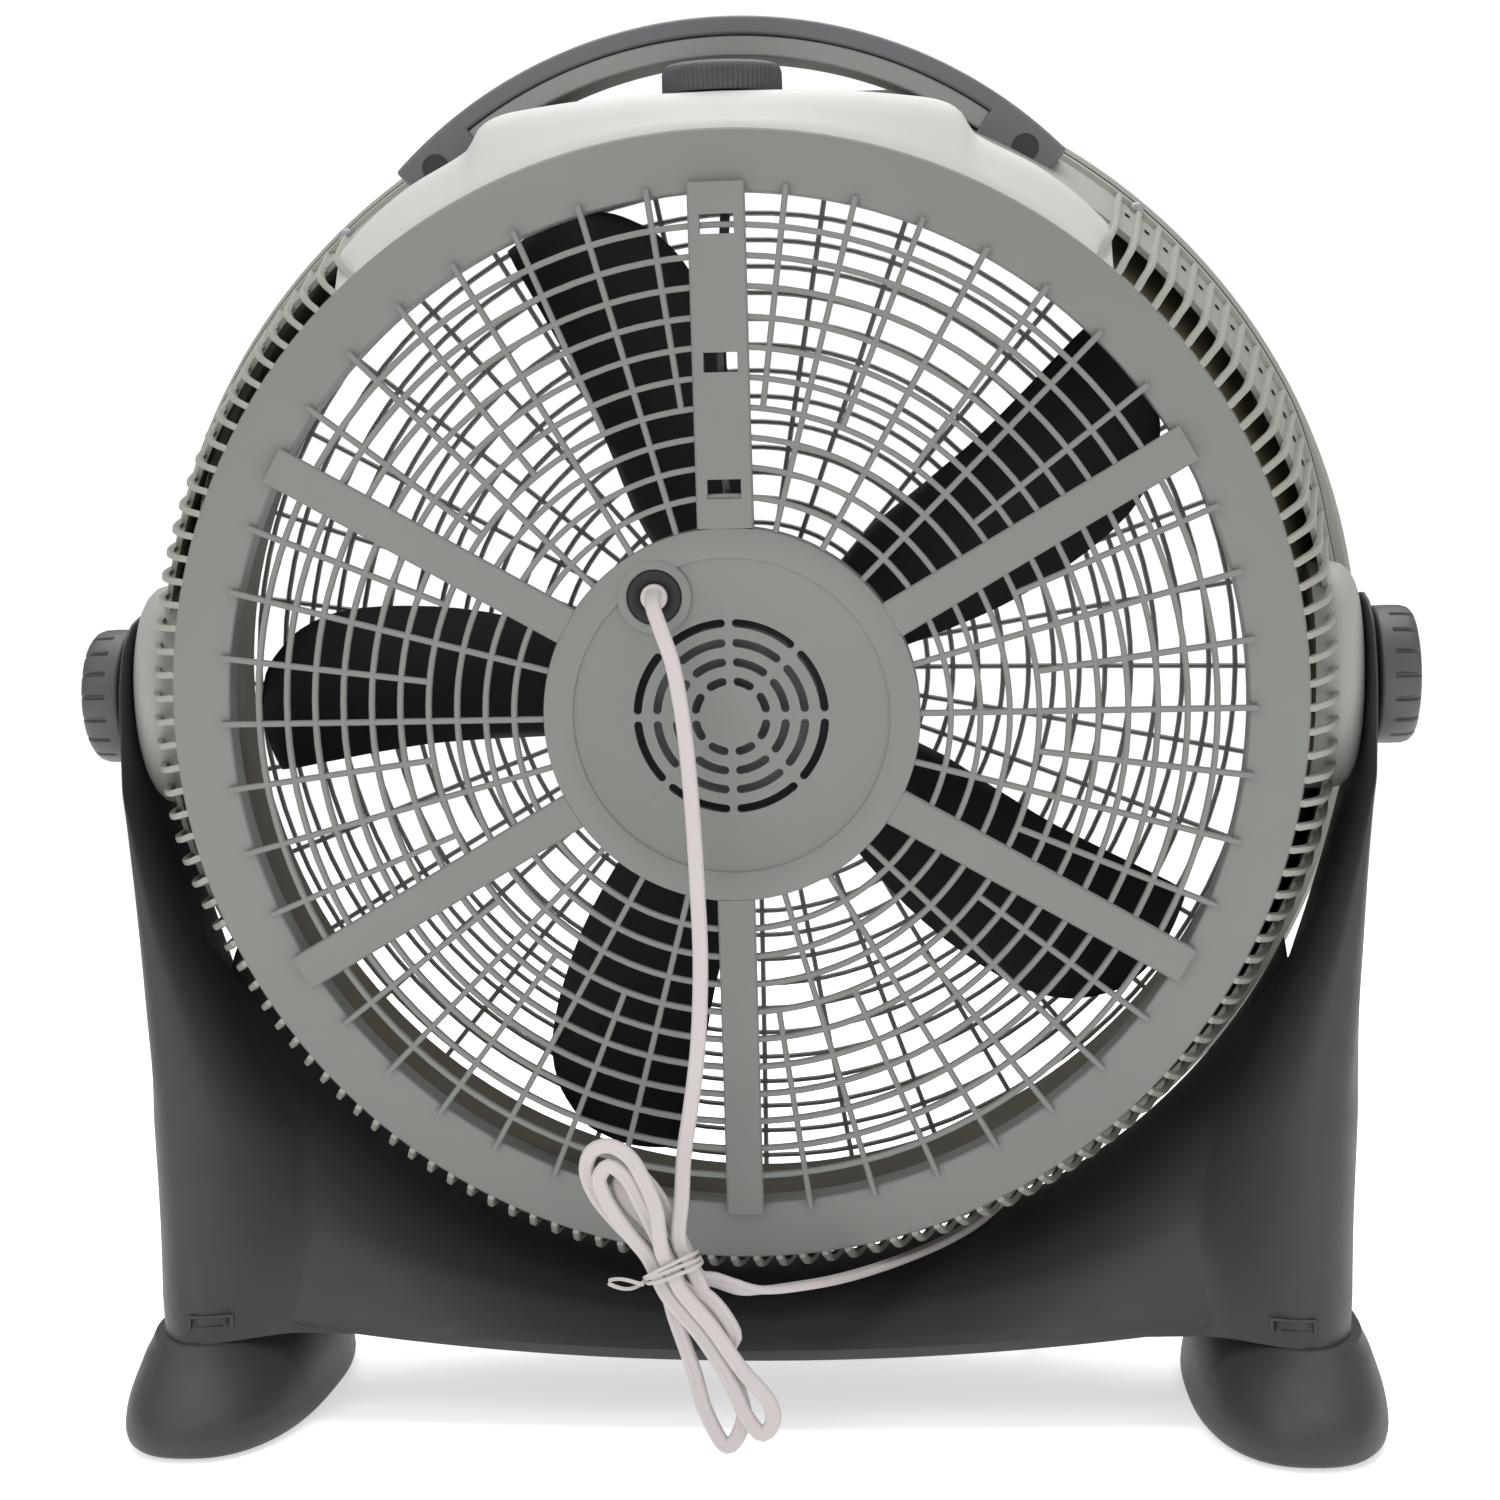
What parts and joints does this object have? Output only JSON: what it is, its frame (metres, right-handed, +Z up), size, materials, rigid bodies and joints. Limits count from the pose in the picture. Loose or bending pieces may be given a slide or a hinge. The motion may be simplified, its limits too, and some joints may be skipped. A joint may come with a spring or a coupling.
{
  "type": "axial air mover",
  "caption": "Floor fan with a round ducted head that tilts in a U-shaped stand, carry handle, speed knob and flat mains lead.",
  "frame": {"origin": "middle of the object's footprint on the floor, lead left out", "axes": "+Z up, +Y the way the air leaves, +X to the right seen from behind"},
  "size_m": [0.6216, 0.2249, 0.6512],
  "materials": {
    "charcoal": "fine moulded grain, satin",
    "rubber": "matt",
    "knob": "fine moulded grain",
    "steel": "zinc plated",
    "shell": "light greenish grey, satin",
    "handle": "satin",
    "brass": "plain",
    "switch": "moulded",
    "grille": "grey-green, satin",
    "duct": "olive brown, satin",
    "casting": "die cast",
    "lamination": "stacked sheets",
    "copper": "enamelled winding wire",
    "capacitor": "moulded",
    "blade": "black, semi-gloss",
    "wire": "sleeved wires",
    "cord": "flat twin lead, pale grey",
    "tie": "paper-covered wire"
  },
  "bodies": {
    "stand": {"stand_frame": "charcoal", "foot_left": "charcoal", "foot_right": "charcoal", "foot_pad_left_rear": "rubber", "foot_pad_left_front": "rubber", "foot_pad_right_rear": "rubber", "foot_pad_right_front": "rubber", "pivot_washer_left": "steel", "pivot_washer_right": "steel", "power_cord": "cord", "cord_tail": "cord", "cord_hank": "cord", "cord_tie": "tie", "plug_body": "cord", "plug_blade_1": "brass", "plug_blade_2": "brass"},
    "head": {"pivot_nut_left": "steel", "pivot_nut_right": "steel", "drum_housing": "shell", "air_duct": "duct", "handle_cover": "handle", "handle_screw_left": "steel", "handle_screw_right": "steel", "speed_switch": "switch", "rear_grille": "grille", "front_grille": "grille", "front_cap": "shell", "housing_screw_1": "steel", "housing_screw_2": "steel", "housing_screw_3": "steel", "housing_screw_4": "steel", "motor_rear_bell": "casting", "motor_front_bell": "casting", "stator_core": "lamination", "stator_winding_rear": "copper", "stator_winding_front": "copper", "bearing_rear": "brass", "bearing_front": "brass", "motor_screw_1": "steel", "motor_screw_2": "steel", "motor_screw_3": "steel", "motor_screw_4": "steel", "run_capacitor": "capacitor", "wire_loom": "wire", "cord_grommet": "rubber"},
    "fan": {"impeller": "blade", "impeller_nut": "blade", "rotor": "lamination", "motor_shaft": "steel"},
    "speed_control": {"speed_knob": "knob", "switch_shaft": "brass"},
    "tilt_clamp_left": {"tilt_knob_left": "knob", "tilt_stud_left": "steel"},
    "tilt_clamp_right": {"tilt_knob_right": "knob", "tilt_stud_right": "steel"}
  },
  "joints": [
    {"name": "head_tilt", "type": "hinge", "parent": "stand", "child": "head", "pos_m": [0, -0.00792, 0.342], "axis": [1, 0, 0], "range_deg": [0, 82], "deforming": ["power_cord"]},
    {"name": "fan_spin", "type": "hinge", "parent": "head", "child": "fan", "pos_m": [0, -0.00722, 0.33705], "axis": [0, 0.9903, 0.1392], "continuous": true},
    {"name": "speed_select", "type": "hinge", "parent": "head", "child": "speed_control", "pos_m": [0, -0.05915, 0.60594], "axis": [0, -0.1392, 0.9903], "range_deg": [0, 135]},
    {"name": "tilt_clamp_left_turn", "type": "hinge", "parent": "stand", "child": "tilt_clamp_left", "pos_m": [-0.3, -0.00792, 0.342], "axis": [-1, 0, 0], "range_deg": [0, 540]},
    {"name": "tilt_clamp_right_turn", "type": "hinge", "parent": "stand", "child": "tilt_clamp_right", "pos_m": [0.3, -0.00792, 0.342], "axis": [1, 0, 0], "range_deg": [0, 540]}
  ]
}
